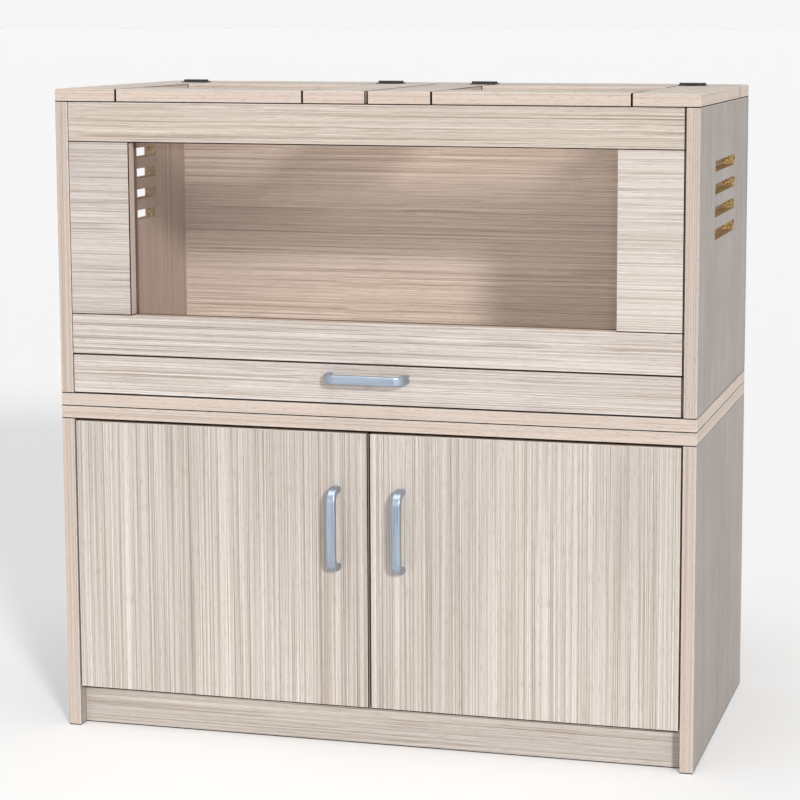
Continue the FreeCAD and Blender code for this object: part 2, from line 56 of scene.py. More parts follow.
CAMERA_SHIFT = (-0.1, -0.1)
SENSOR_WIDE = 36
SEES_TO = 1000
FLOOR_SIZE = 400.0
FLOOR_WHITE = (0.94, 0.94, 0.94, 1)
ROOM_WHITE = (1.0, 1.0, 1.0, 1)
ROOM_GLOW = 0.12
ROOM_SEEN = 0.92
FLOOR_GLOW = 0.13
TOOTH_DEEP = 0.00005
# each lamp: degrees round from the front towards the right, degrees up, spread, strength
LAMPS = {
    "key_lamp": (34, 20, 7, 1.80),
    "fill_lamp": (-18, 5, 36, 0.24),
    "top_lamp": (-10, 82, 60, 1.52),
}
STRIP_LAMP_SIZE = (0.60, 0.03)
STRIP_LAMP_POWER = 0.50
STRIP_LAMP_WARM = (1.0, 0.90, 0.81)
STRIP_LAMP_DIP = 12
STRIP_LAMP_BEHIND = 0.03

camera = bpy.data.objects.new("camera", bpy.data.cameras.new("camera"))
bpy.context.scene.collection.objects.link(camera)
camera.location = CAMERA_AT
camera.rotation_euler = (math.radians(90 + CAMERA_TILT), 0, math.radians(CAMERA_TURN))
camera.data.lens = CAMERA_LENS
camera.data.sensor_width = SENSOR_WIDE
camera.data.shift_x, camera.data.shift_y = CAMERA_SHIFT
camera.data.clip_end = SEES_TO
bpy.context.scene.camera = camera
bpy.context.scene.view_settings.view_transform = "Standard"

for name, (turn, rise, spread, power) in LAMPS.items():
    lamp = bpy.data.objects.new(name, bpy.data.lights.new(name, "SUN"))
    bpy.context.scene.collection.objects.link(lamp)
    lamp.rotation_euler = (math.radians(90 - rise), 0, math.radians(turn))
    lamp.data.angle = math.radians(spread)
    lamp.data.energy = power

rail_low, rail_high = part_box("cage_top_rail")
strip_lamp = bpy.data.objects.new("strip_lamp", bpy.data.lights.new("strip_lamp", "AREA"))
bpy.context.scene.collection.objects.link(strip_lamp)
strip_lamp.location = (0, rail_high.y + STRIP_LAMP_BEHIND, (rail_low.z + rail_high.z) / 2)
strip_lamp.rotation_euler = (math.radians(90 - STRIP_LAMP_DIP), 0, 0)
strip_lamp.data.shape = "RECTANGLE"
strip_lamp.data.size, strip_lamp.data.size_y = STRIP_LAMP_SIZE
strip_lamp.data.energy = STRIP_LAMP_POWER
strip_lamp.data.color = STRIP_LAMP_WARM


def node(tree, kind, links=(), **settings):
    """Adds a shader node, with its settings, and joins or sets the inputs given in links."""
    made = tree.nodes.new("ShaderNode" + kind)
    for key, value in settings.items():
        setattr(made, key, value)
    for socket, value in links:
        if isinstance(value, bpy.types.NodeSocket):
            tree.links.new(value, made.inputs[socket])
        else:
            made.inputs[socket].default_value = value
    return made


def maths(tree, operation, a, b=0.0, c=0.0, clamp=False):
    """One step of arithmetic on values or sockets."""
    made = node(tree, "Math", ((0, a), (1, b), (2, c)), operation=operation, use_clamp=clamp)
    return made.outputs[0]


def noise(tree, vector, scale, detail=2.0, rough=0.5):
    """Noise over vector, stretched by scale in each direction."""
    at = node(tree, "Mapping", (("Vector", vector), ("Scale", scale)))
    made = node(tree, "TexNoise", (("Vector", at.outputs[0]), ("Scale", 1.0), ("Detail", detail),
                                   ("Roughness", rough)))
    return made.outputs["Fac"]


def between(tree, value, low, high, to_low=0.0, to_high=1.0):
    """Eases value from to_low to to_high as it goes from low to high."""
    made = node(tree, "MapRange", ((0, value), (1, low), (2, high), (3, to_low), (4, to_high)),
                interpolation_type="SMOOTHSTEP")
    return made.outputs[0]


def new_material(name):
    """An empty material and its node tree."""
    made = bpy.data.materials.new(name)
    made.use_nodes = True
    made.node_tree.nodes.clear()
    return made, made.node_tree


def finish_material(tree, base, rough, height, deep, settings=()):
    """Closes a material: colour and roughness into the shader, and a height in metres as bump."""
    bump = node(tree, "Bump", (("Height", height), ("Strength", 1.0), ("Distance", deep)))
    shader = node(tree, "BsdfPrincipled", (
        ("Base Color", base), ("Roughness", rough), ("Normal", bump.outputs[0]), *settings))
    node(tree, "OutputMaterial", (("Surface", shader.outputs[0]),))


room = bpy.data.worlds.new("room")
bpy.context.scene.world = room
room.use_nodes = True
sky = room.node_tree
sky.nodes.clear()
rays = node(sky, "LightPath").outputs
seen = maths(sky, "MAXIMUM", rays["Is Camera Ray"], rays["Is Glossy Ray"])
glow = node(sky, "MapRange", ((0, seen), (3, ROOM_GLOW), (4, ROOM_SEEN)))
back_light = node(sky, "Background", (("Color", ROOM_WHITE), ("Strength", glow.outputs[0])))
node(sky, "OutputWorld", (("Surface", back_light.outputs[0]),))

bpy.ops.object.select_all(action="DESELECT")
bpy.ops.mesh.primitive_plane_add(size=FLOOR_SIZE, location=(0, 0, 0))
floor = bpy.context.object
floor.name = "floor"
paper, tree = new_material("floor_paper")
where = node(tree, "TexCoord").outputs["Object"]
tooth = noise(tree, where, (900, 900, 900), 3)
finish_material(tree, FLOOR_WHITE, between(tree, tooth, 0.3, 0.7, 0.75, 0.9), tooth, TOOTH_DEEP,
                (("Emission Color", ROOM_WHITE), ("Emission Strength", FLOOR_GLOW)))
floor.data.materials.append(paper)

# ---------------------------------------------------------------- faced board
# Every board is chipboard faced with a pale oak print and edged with a printed band. The print is
# fine streaks along the board. The arrises are paler, partly from the trimmed band and partly as a
# painted highlight. Joints and gaps get a painted shade line, dark and without sheen, and sawn
# slots show raw chips.

def blend_colour(tree, share, a, b):
    """Colour a, giving way to colour b as share goes from 0 to 1."""
    made = node(tree, "Mix", (("Factor", share), (6, a), (7, b)), data_type="RGBA")
    return made.outputs[2]


def colour(red, green, blue):
    """A paint-chart colour, 0 to 255, as the shader's own."""
    def one(c):
        c /= 255
        return c / 12.92 if c < 0.04045 else ((c + 0.055) / 1.055) ** 2.4
    return (one(red), one(green), one(blue), 1.0)


def coat_nodes(names, material):
    """Gives the named CAD pieces a finish."""
    for name in names:
        piece = frame["nodes"][name]
        piece.data.materials.clear()
        piece.data.materials.append(material)


PRINT_LIGHT = colour(230, 223, 216)
PRINT_MIDDLE = colour(208, 198, 189)
PRINT_DARK = colour(166, 150, 137)
PRINT_DASH = colour(120, 100, 86)
BAND = colour(220, 201, 187)
BAND_FLECK = colour(158, 138, 124)
ARRIS_PALE = colour(240, 234, 228)
SEAM_SHADE = colour(24, 19, 16)
CHIP_PALE = colour(208, 178, 124)
CHIP_DARK = colour(108, 84, 50)
ARRIS_WIDTH = 0.0014
SEAM_WIDTH = 0.0013
PRINT_SHINE = 0.28
PRINT_DEEP = 0.00012
# moves the print on from board to board, so that no two boards match
PRINT_STEP = Vector((3.1, 5.3, 7.7))
# how many streaks of each kind lie in a metre across the grain
FINE_STREAKS = 600
HAIR_STREAKS = 1150
BROAD_STREAKS = 110
DASH_STREAKS = 900
STREAK_SPREAD = 0.13
DASH_SHARE = 0.26
SQUARE_ON = 0.85
X, Y, Z = 0, 1, 2


def vector_maths(tree, operation, *values):
    """One step of vector arithmetic."""
    made = node(tree, "VectorMath", tuple(enumerate(values)), operation=operation)
    return made.outputs[0]


def parts_of(tree, vector):
    """A vector's x, y and z."""
    return node(tree, "SeparateXYZ", ((0, vector),)).outputs


def print_place(tree, spot, on_end, grain, face, shift, wavy):
    """Where each point lies in the print, which runs along the board, and along the band on the
    board's two ends."""
    across = 3 - grain - face
    along = node(tree, "CombineXYZ", ((0, spot[grain]), (1, spot[across]), (2, spot[face])))
    ends = node(tree, "CombineXYZ", ((0, spot[across]), (1, spot[face]), (2, spot[grain])))
    place = node(tree, "Mix", (("Factor", on_end), (4, along.outputs[0]), (5, ends.outputs[0])),
                 data_type="VECTOR").outputs[1]
    moved = node(tree, "Mapping", (("Vector", place), ("Location", (shift, shift, shift))))
    place = moved.outputs[0]
    sway = noise(tree, place, (9, 14, 14), 1)
    sway = maths(tree, "MULTIPLY_ADD", sway, wavy, -wavy / 2)
    swayed = node(tree, "CombineXYZ", ((0, 0.0), (1, sway), (2, sway)))
    return vector_maths(tree, "ADD", place, swayed.outputs[0])


def oak_print(tree, place, close, contrast):
    """The printed colour, and the noises of its fine streaks and short dashes."""
    fine = noise(tree, place, (1.6, FINE_STREAKS * close, FINE_STREAKS * close), 2, 0.6)
    hair = noise(tree, place, (3.0, HAIR_STREAKS * close, HAIR_STREAKS * close), 1)
    broad = noise(tree, place, (1.2, BROAD_STREAKS, BROAD_STREAKS), 1)
    clouds = noise(tree, place, (1.6, 9, 9), 1)
    dash = noise(tree, place, (60, DASH_STREAKS * close, DASH_STREAKS * close), 2)
    streak = maths(tree, "MULTIPLY_ADD", fine, 0.6, maths(tree, "MULTIPLY", broad, 0.06))
    streak = maths(tree, "MULTIPLY_ADD", hair, 0.34, streak)
    spread = STREAK_SPREAD / contrast
    base = blend_colour(tree, between(tree, streak, 0.5, 0.5 + spread), PRINT_MIDDLE, PRINT_LIGHT)
    base = blend_colour(tree, between(tree, streak, 0.5, 0.5 - spread), base, PRINT_DARK)
    dashes = maths(tree, "MULTIPLY", between(tree, dash, 0.54, 0.68), DASH_SHARE * contrast)
    base = blend_colour(tree, dashes, base, PRINT_DASH)
    tinge = between(tree, clouds, 0.3, 0.7, 0.94, 1.03)
    base = node(tree, "VectorMath", ((0, base), ("Scale", tinge)), operation="SCALE").outputs[0]
    return base, fine, dash


def two_tones(tree, normal, face, middle, tone, inner_shade_tone):
    """A board's tone, with a painted shade tone on the face towards the cage's middle."""
    turned = parts_of(tree, normal)[face]
    towards = -1.0 if middle[face] > 0 else 1.0
    inner = maths(tree, "GREATER_THAN", maths(tree, "MULTIPLY", turned, towards), 0.5)
    return node(tree, "Mix", (("Factor", inner), (4, tone), (5, inner_shade_tone)),
                data_type="VECTOR").outputs[1]


def edge_band(tree, base, place, fine):
    """The band's colour: the print under a warm tint, with small flecks."""
    fleck = noise(tree, place, (110, 1300, 1300), 2)
    banded = blend_colour(tree, between(tree, fine, 0.35, 0.65, 0.45, 0.85), base, BAND)
    return blend_colour(tree, between(tree, fleck, 0.56, 0.72, 0.0, 0.5), banded, BAND_FLECK)


def arris_wear_and_highlight(tree, base, where, low, high):
    """Pales the colour towards the board's nearest long edge in a patchy line, partly edge wear
    and partly a painted highlight.
    """
    off = vector_maths(tree, "SUBTRACT", where, (low + high) / 2)
    off = vector_maths(tree, "ABSOLUTE", off)
    x, y, z = parts_of(tree, vector_maths(tree, "SUBTRACT", (high - low) / 2, off))
    nearer = maths(tree, "MINIMUM", x, y)
    farther = maths(tree, "MAXIMUM", x, y)
    inset = maths(tree, "MAXIMUM", nearer, maths(tree, "MINIMUM", farther, z))
    scuff = noise(tree, where, (90, 90, 90), 3, 0.7)
    wear_and_highlight = maths(tree, "MULTIPLY", between(tree, inset, ARRIS_WIDTH, 0.0),
                 between(tree, scuff, 0.35, 0.6, 0.15, 0.65))
    return blend_colour(tree, wear_and_highlight, base, ARRIS_PALE)


def painted_joint_shade(tree, spot, normal, low, high, seams):
    """1 along the sides that butt against a neighbour, where a painted shade line goes, and 0
    elsewhere.
    """
    joint_shade = 0.0
    for side, letter in seams:
        axis = "xyz".index(letter)
        if side == "+":
            inset = maths(tree, "SUBTRACT", high[axis], spot[axis])
        else:
            inset = maths(tree, "SUBTRACT", spot[axis], low[axis])
        line = maths(tree, "LESS_THAN", inset, SEAM_WIDTH)
        line = maths(tree, "MULTIPLY", line, maths(tree, "LESS_THAN", normal[axis], 0.9))
        joint_shade = maths(tree, "MAXIMUM", joint_shade, line)
    return joint_shade


def sawn_chips(tree, where, normal, raw):
    """1 on the walls of the slots in the box raw, with their colour and the noise of the chips."""
    raw_low, raw_high = raw
    half = (raw_high - raw_low) / 2
    away = vector_maths(tree, "SUBTRACT", where, (raw_low + raw_high) / 2)
    away = parts_of(tree, vector_maths(tree, "ABSOLUTE", away))
    sawn = maths(tree, "LESS_THAN", away[Y], half.y)
    sawn = maths(tree, "MULTIPLY", sawn, maths(tree, "LESS_THAN", away[Z], half.z))
    sawn = maths(tree, "MULTIPLY", sawn, maths(tree, "LESS_THAN", normal[X], 0.5))
    chips = noise(tree, where, (420, 420, 420), 4, 0.7)
    shade = blend_colour(tree, between(tree, chips, 0.36, 0.64), CHIP_DARK, CHIP_PALE)
    return sawn, shade, chips


def faced_board(name, grain, face, contrast=1.0, wavy=0.0, close=1.0, tone=(1, 1, 1),
                inner_shade_tone=None, seams=("-z",), raw=None):
    """Finishes a board. grain and face are axes. close is how close the print's lines lie, and
    wavy how far they sway. The tone of the face towards the cage's middle, where one is given, is
    a painted shade. seams are the sides that butt against a neighbour, and raw is a box round sawn
    slots."""
    low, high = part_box(name)
    made, tree = new_material(name + "_print")
    coords = node(tree, "TexCoord").outputs
    where = coords["Object"]
    spot = parts_of(tree, where)
    normal = parts_of(tree, vector_maths(tree, "ABSOLUTE", coords["Normal"]))
    on_face = maths(tree, "GREATER_THAN", normal[face], SQUARE_ON)
    on_end = maths(tree, "GREATER_THAN", normal[grain], SQUARE_ON)

    shift = (low + high).dot(PRINT_STEP)
    place = print_place(tree, spot, on_end, grain, face, shift, wavy)
    base, fine, dash = oak_print(tree, place, close, contrast)
    if inner_shade_tone is not None:
        tone = two_tones(tree, coords["Normal"], face, low + high, tone, inner_shade_tone)
    base = vector_maths(tree, "MULTIPLY", base, tone)
    base = blend_colour(tree, on_face, edge_band(tree, base, place, fine), base)
    # partly edge wear, partly a painted highlight: the arrises are paled
    base = arris_wear_and_highlight(tree, base, where, low, high)
    # painted shade: a dark line along the joints and gaps, with its sheen taken away too
    joint_shade = painted_joint_shade(tree, spot, normal, low, high, seams)
    base = blend_colour(tree, joint_shade, base, SEAM_SHADE)
    shine = maths(tree, "MULTIPLY_ADD", joint_shade, -PRINT_SHINE, PRINT_SHINE)

    rough = between(tree, noise(tree, where, (11, 11, 11), 3, 0.6), 0.3, 0.7, 0.50, 0.64)
    height = maths(tree, "MULTIPLY_ADD", fine, 0.7, maths(tree, "MULTIPLY", dash, 0.5))
    if raw is not None:
        sawn, shade, chips = sawn_chips(tree, where, normal, raw)
        base = blend_colour(tree, sawn, base, shade)
        rough = maths(tree, "MULTIPLY_ADD", sawn, 0.45, rough, clamp=True)
        pitted = maths(tree, "MULTIPLY", sawn, maths(tree, "MULTIPLY", chips, 3.0))
        height = maths(tree, "ADD", height, pitted)
    finish_material(tree, base, rough, height, PRINT_DEEP, (("Specular IOR Level", shine),))
    coat_nodes([name], made)


# ---------------------------------------------------------------- storage cabinet
# Two sides, a bottom, a top and a set-back plinth make the cabinet. The sides' print stands
# upright and is calmer than the doors', and the sides are painted darker as shade. The level
# boards' print runs from side to side.
CALM = 0.7
WAVY = 0.0015
# painted shade: the sides are darker than the front
SIDE_SHADE_TONE = (0.66, 0.655, 0.67)
# painted shade under the doors: the plinth is a little darker
PLINTH_SHADE_TONE = (0.92, 0.92, 0.92)
LEVEL_CLOSE = 1.45

for name in ("cabinet_side_left", "cabinet_side_right"):
    faced_board(name, grain=Z, face=X, contrast=CALM, tone=SIDE_SHADE_TONE)
for name in ("cabinet_bottom", "cabinet_top"):
    faced_board(name, grain=X, face=Z, wavy=WAVY, close=LEVEL_CLOSE)
# the plinth's darker tone is painted shade under the doors
faced_board("cabinet_plinth", grain=X, face=Y, wavy=WAVY, close=LEVEL_CLOSE,
            tone=PLINTH_SHADE_TONE)

# ---------------------------------------------------------------- cabinet back
# A thin hardboard sheet slid into grooves. Its inner face carries the print, and its outer face
# is bare brown fibre with a fine cross-hatched press mark.
FIBRE = colour(150, 112, 78)
FIBRE_DARK = colour(112, 80, 54)
FIBRE_DEEP = 0.00015

sheet, tree = new_material("hardboard")
coords = node(tree, "TexCoord").outputs
where = coords["Object"]
behind = maths(tree, "GREATER_THAN", parts_of(tree, coords["Normal"])[Y], 0.5)
lines = noise(tree, where, (4, 600, 600), 3)
front_print = blend_colour(tree, between(tree, lines, 0.35, 0.65), PRINT_DARK, PRINT_LIGHT)
fibres = noise(tree, where, (260, 260, 260), 5, 0.75)
fibre_tone = blend_colour(tree, between(tree, fibres, 0.35, 0.65), FIBRE_DARK, FIBRE)
hatch = node(tree, "TexWave", (("Vector", where), ("Scale", 220.0), ("Distortion", 0.4)),
             bands_direction="DIAGONAL").outputs["Fac"]
press = maths(tree, "MULTIPLY", behind, maths(tree, "MULTIPLY_ADD", hatch, 0.6, fibres))
base = blend_colour(tree, behind, front_print, fibre_tone)
rough = between(tree, fibres, 0.3, 0.7, 0.5, 0.8)
finish_material(tree, base, rough, maths(tree, "ADD", press, lines), FIBRE_DEEP)
coat_nodes(["cabinet_back"], sheet)

# ---------------------------------------------------------------- enclosure carcass
# A base board, two sides with four sawn air slots each, a back, two rails and two panels round
# the window. All the front boards are doweled between the sides. The print differs a little in
# tone from board to board. Besides, the sides are painted darker as shade, and their faces towards
# the middle take a warm painted shade. The top rail is painted darker and warmer as shade under
# the lids, and the left panel is painted a little darker and the right one lighter, as painted
# light falling from the right.
FRONT_TONE = (1.05, 1.04, 1.05)
# painted light from the right: the left panel a little darker, the right one lighter
PANEL_LIGHT_TONES = {"left": (0.96, 0.955, 0.965), "right": (1.09, 1.09, 1.09)}
# painted shade: the faces towards the inside are warm and darker
ROOM_SHADE_TONE = (0.69, 0.58, 0.52)
# painted shade under the lids: the top rail is darker and warmer
RAIL_SHADE_TONE = (0.97, 0.935, 0.89)
BACK_TONE = (1.06, 0.98, 0.92)
SLOT_PAST = Vector((0, 0.004, 0.004))

vents = [o for o in frame["record"]["physics"]["openings"] if o["name"].startswith("vent_")]


def slot_zone(side):
    """The box round one side's sawn slots, out to just past their walls."""
    own = [o["box_m"] for o in vents if side in o["name"]]
    low = Vector([min(b[0][i] for b in own) for i in range(3)])
    high = Vector([max(b[1][i] for b in own) for i in range(3)])
    return low - SLOT_PAST, high + SLOT_PAST


for side in ("left", "right"):
    faced_board("cage_side_" + side, grain=Z, face=X, contrast=CALM, tone=SIDE_SHADE_TONE,
                inner_shade_tone=ROOM_SHADE_TONE, raw=slot_zone(side))
    faced_board("cage_front_panel_" + side, grain=X, face=Y, wavy=WAVY, contrast=0.9,
                close=LEVEL_CLOSE, tone=PANEL_LIGHT_TONES[side], seams=("-z", "+x"))
faced_board("cage_base", grain=X, face=Z, wavy=WAVY, close=LEVEL_CLOSE)
faced_board("cage_back", grain=X, face=Y, wavy=0.002, close=1.2, tone=BACK_TONE)
faced_board("cage_top_rail", grain=X, face=Y, wavy=0.002, close=LEVEL_CLOSE,
            tone=RAIL_SHADE_TONE, seams=("-z", "+x"))
faced_board("cage_bottom_rail", grain=X, face=Y, wavy=WAVY, close=LEVEL_CLOSE,
            tone=FRONT_TONE, seams=("-z", "+x"))

# ---------------------------------------------------------------- front dowels
# Plain beech dowels, ribbed by a press so that glue can creep along them. They pin the front
# boards to the sides.
BEECH = colour(214, 176, 132)
BEECH_DARK = colour(168, 124, 84)
RIB_DEEP = 0.0001

beech, tree = new_material("beech")
where = node(tree, "TexCoord").outputs["Object"]
figure = noise(tree, where, (60, 1400, 1400), 3)
base = blend_colour(tree, between(tree, figure, 0.35, 0.7), BEECH, BEECH_DARK)
finish_material(tree, base, between(tree, figure, 0.3, 0.7, 0.55, 0.75), figure, RIB_DEEP)
coat_nodes(["front_dowels"], beech)

# ---------------------------------------------------------------- window channels
# Three extruded strips of brown plastic, fixed behind the window's edges, hold the pane in a
# groove. The die leaves faint lines along each strip.
STRIP = colour(118, 88, 70)
STRIP_DARK = colour(88, 64, 50)
DIE_LINE_DEEP = 0.00008


def channel_material(name, along):
    """Brown plastic, drawn along one axis."""
    made, tree = new_material(name)
    where = node(tree, "TexCoord").outputs["Object"]
    drawn = [900, 900, 900]
    drawn[along] = 3
    lines = noise(tree, where, drawn, 2)
    haze = noise(tree, where, (30, 30, 30), 3)
    base = blend_colour(tree, between(tree, haze, 0.3, 0.7, 0.1, 0.7), STRIP, STRIP_DARK)
    rough = between(tree, lines, 0.3, 0.7, 0.34, 0.5)
    finish_material(tree, base, rough, lines, DIE_LINE_DEEP)
    return made


upright = channel_material("brown_strip_upright", Z)
level = channel_material("brown_strip_level", X)
coat_nodes(["window_channel_left", "window_channel_right"], upright)
coat_nodes(["window_channel_bottom"], level)

# ---------------------------------------------------------------- window pane
# A sheet of clear acrylic dropped into the channels. Its faces are polished, with a few hair
# scratches and a light haze from wiping.
PANE_TINT = (0.92, 0.95, 0.95, 1)
PANE_COVER = 0.035
PANE_IOR = 1.49
SCRATCH_DEEP = 0.00001

acrylic, tree = new_material("clear_acrylic")
where = node(tree, "TexCoord").outputs["Object"]
hairs = noise(tree, where, (25, 1200, 300), 2)
wipes = noise(tree, where, (6, 6, 14), 4, 0.65)
hazed = maths(tree, "MULTIPLY_ADD", between(tree, hairs, 0.64, 0.7), 0.12,
              between(tree, wipes, 0.35, 0.7, 0.02, 0.10))
bump = node(tree, "Bump", (("Height", hairs), ("Strength", 0.1), ("Distance", SCRATCH_DEEP)))
shader = node(tree, "BsdfPrincipled", (
    ("Base Color", PANE_TINT), ("Roughness", hazed), ("IOR", PANE_IOR), ("Alpha", PANE_COVER),
    ("Normal", bump.outputs[0])))
node(tree, "OutputMaterial", (("Surface", shader.outputs[0]),))
coat_nodes(["window_pane"], acrylic)

# ---------------------------------------------------------------- lids
# Two plain butt-jointed frames of the same board, each of two stiles and two rails, lie over the
# top of the enclosure, with a fixed board behind them.
# painted light: the lids and the board behind them are lighter, as a top lit from above
LID_LIGHT_TONE = (1.06, 1.03, 1.0)

faced_board("lid_rear_rail", grain=X, face=Z, wavy=WAVY, close=LEVEL_CLOSE, tone=LID_LIGHT_TONE,
            seams=("-z", "-y"))
for side, inner, outer in (("left", "+x", "-x"), ("right", "-x", "+x")):
    faced_board(f"lid_{side}_stile_inner", grain=Y, face=Z, tone=LID_LIGHT_TONE,
                seams=("-z", inner, outer))
    faced_board(f"lid_{side}_stile_outer", grain=Y, face=Z, tone=LID_LIGHT_TONE, seams=("-z", inner))
    for piece in ("rail_front", "rail_rear"):
        faced_board(f"lid_{side}_{piece}", grain=X, face=Z, wavy=WAVY, close=LEVEL_CLOSE,
                    tone=LID_LIGHT_TONE, seams=("-z", inner, outer))

# ---------------------------------------------------------------- lid mesh
# Welded galvanised wire let into each lid from below. The zinc is dull, with small spangles and
# a brighter spot where wires cross.
ZINC = colour(172, 174, 176)
ZINC_DARK = colour(126, 129, 132)
DRIP_DEEP = 0.00005

wire, tree = new_material("galvanised_wire")
where = node(tree, "TexCoord").outputs["Object"]
spangle = node(tree, "TexVoronoi", (("Vector", where), ("Scale", 420.0))).outputs["Distance"]
drips = noise(tree, where, (700, 700, 700), 3, 0.7)
base = blend_colour(tree, between(tree, spangle, 0.2, 0.7), ZINC, ZINC_DARK)
finish_material(tree, base, between(tree, drips, 0.3, 0.7, 0.32, 0.58), drips, DRIP_DEEP,
                (("Metallic", 1.0),))
coat_nodes(["lid_left_mesh", "lid_right_mesh"], wire)

# ---------------------------------------------------------------- lid hinges
# Small steel butt hinges, painted black. The paint is lightly orange-peeled, and it has rubbed
# through in places on the knuckles.
PAINT = colour(26, 25, 25)
RUBBED = colour(118, 114, 108)
PEEL_DEEP = 0.00006

black, tree = new_material("black_paint")
where = node(tree, "TexCoord").outputs["Object"]
peel = noise(tree, where, (900, 900, 900), 2)
rubs = noise(tree, where, (260, 520, 520), 4, 0.7)
bare = between(tree, rubs, 0.62, 0.72)
base = blend_colour(tree, bare, PAINT, RUBBED)
finish_material(tree, base, between(tree, peel, 0.3, 0.7, 0.28, 0.44), peel, PEEL_DEEP)
coat_nodes(["lid_hinge_base_left", "lid_hinge_base_right", "lid_left_hinge_leaves",
            "lid_right_hinge_leaves"], black)

# ---------------------------------------------------------------- pull-out tray
# The tray is a drawer of thin faced board under the window. Its front stands as tall as the gap
# between the base and the rail, and a printed hardboard floor slides into grooves.
faced_board("tray_front", grain=X, face=Y, wavy=WAVY, close=LEVEL_CLOSE, tone=FRONT_TONE,
            seams=("-z", "+x"))
for name in ("tray_side_left", "tray_side_right"):
    faced_board(name, grain=Y, face=X)
faced_board("tray_back", grain=X, face=Y)
coat_nodes(["tray_floor"], sheet)

# ---------------------------------------------------------------- doors
# Each door is one board with its print upright, drilled from behind for two hinge cups and
# through for the handle's bolts.
for side, free in (("left", "+x"), ("right", "-x")):
    faced_board(f"door_{side}_panel", grain=Z, face=Y, close=1.2, seams=("-z", free))

# ---------------------------------------------------------------- bow handles
# Bent flat aluminium bar, brushed along its length and anodised in a cool satin grey.
ANODISED = colour(186, 196, 208)
ANODISED_DARK = colour(140, 156, 176)
BRUSH_DEEP = 0.00002


def brushed_aluminium(name, along):
    """Satin aluminium, brushed along one axis."""
    made, tree = new_material(name)
    where = node(tree, "TexCoord").outputs["Object"]
    drawn = [1500, 1500, 1500]
    drawn[along] = 18
    brushed = noise(tree, where, drawn, 3, 0.6)
    smears = noise(tree, where, (45, 45, 45), 3)
    base = blend_colour(tree, between(tree, brushed, 0.3, 0.7), ANODISED_DARK, ANODISED)
    rough = maths(tree, "MULTIPLY_ADD", smears, 0.14, between(tree, brushed, 0.3, 0.7, 0.24, 0.34))
    finish_material(tree, base, rough, brushed, BRUSH_DEEP, (("Metallic", 1.0),))
    return made


upright_bar = brushed_aluminium("aluminium_upright", Z)
level_bar = brushed_aluminium("aluminium_level", X)
coat_nodes(["door_left_handle", "door_right_handle"], upright_bar)
coat_nodes(["tray_handle"], level_bar)

# ---------------------------------------------------------------- concealed hinges
# Pressed steel cups let into the doors, and hooked arms screwed to the cabinet sides. All are
# nickel plated, with faint press marks and duller patches from handling.
NICKEL = colour(204, 202, 198)
NICKEL_DULL = colour(158, 155, 150)
PRESS_DEEP = 0.00003

nickel, tree = new_material("nickel_plate")
where = node(tree, "TexCoord").outputs["Object"]
press = noise(tree, where, (180, 180, 1100), 3)
patches = noise(tree, where, (60, 60, 60), 4, 0.65)
base = blend_colour(tree, between(tree, patches, 0.4, 0.65), NICKEL, NICKEL_DULL)
rough = maths(tree, "MULTIPLY_ADD", patches, 0.2, between(tree, press, 0.3, 0.7, 0.14, 0.24))
finish_material(tree, base, rough, press, PRESS_DEEP, (("Metallic", 1.0),))
coat_nodes(["door_left_hinge_cups", "door_right_hinge_cups"], nickel)
coat_nodes([f"hinge_arm_{side}_{height}" for side in ("left", "right")
            for height in ("lower", "upper")], nickel)

# ---------------------------------------------------------------- screws and bolts
# Countersunk wood screws hold every hinge, and round-headed bolts hold the handles from inside.
# They are turned from steel wire, punched with a cross recess and nickel plated.
SCREW_HEAD_DEEP = 0.0012
SCREW_LAND = 0.0002
SCREW_CORE = 0.0013
BOLT_HEAD_DEEP = 0.0025
BOLT_CORE = 0.0020
BOLT_DOME = 0.0010
# each step of the dome: how much narrower, and what share of the dome's height
DOME_STEPS = ((0.95, 0.45), (0.86, 0.33), (0.80, 0.22))
POINT_LONG = 0.0030
POINT_SHARP = 0.2
POINT_BLUNT = 0.7
CROSS_WIDE = 0.0009
CROSS_TAPER = 0.55
CROSS_REACH = 0.36
# how deep the cross is punched, as a share of the head's depth
SCREW_PUNCH = 0.75
BOLT_PUNCH = 0.45
SMOOTH_BELOW = math.radians(35)
WELD = 0.00002
ROUND_FACES = 32
UPRIGHT = 0.9


def pick_faces(part, wanted):
    """Selects only the faces that pass the test, in edit mode."""
    bpy.ops.mesh.select_all(action="DESELECT")
    bpy.ops.object.mode_set(mode="OBJECT")
    for face in part.data.polygons:
        face.select = wanted(face)
    bpy.ops.object.mode_set(mode="EDIT")


def faces_up(face):
    return face.normal.z > UPRIGHT


def faces_down(face):
    return face.normal.z < -UPRIGHT


def draw_out(step, share=1.0):
    """Extrudes the selected faces by step, and narrows their new end to a share of its width."""
    bpy.ops.mesh.extrude_region_move(TRANSFORM_OT_translate={"value": step})
    bpy.ops.transform.resize(value=(share, share, 1))


def start_shape(add, **settings):
    """Adds a primitive with nothing else selected, and opens it with its faces unselected."""
    bpy.ops.object.select_all(action="DESELECT")
    add(**settings)
    bpy.ops.object.mode_set(mode="EDIT")
    bpy.ops.mesh.select_mode(type="FACE")
    return bpy.context.object


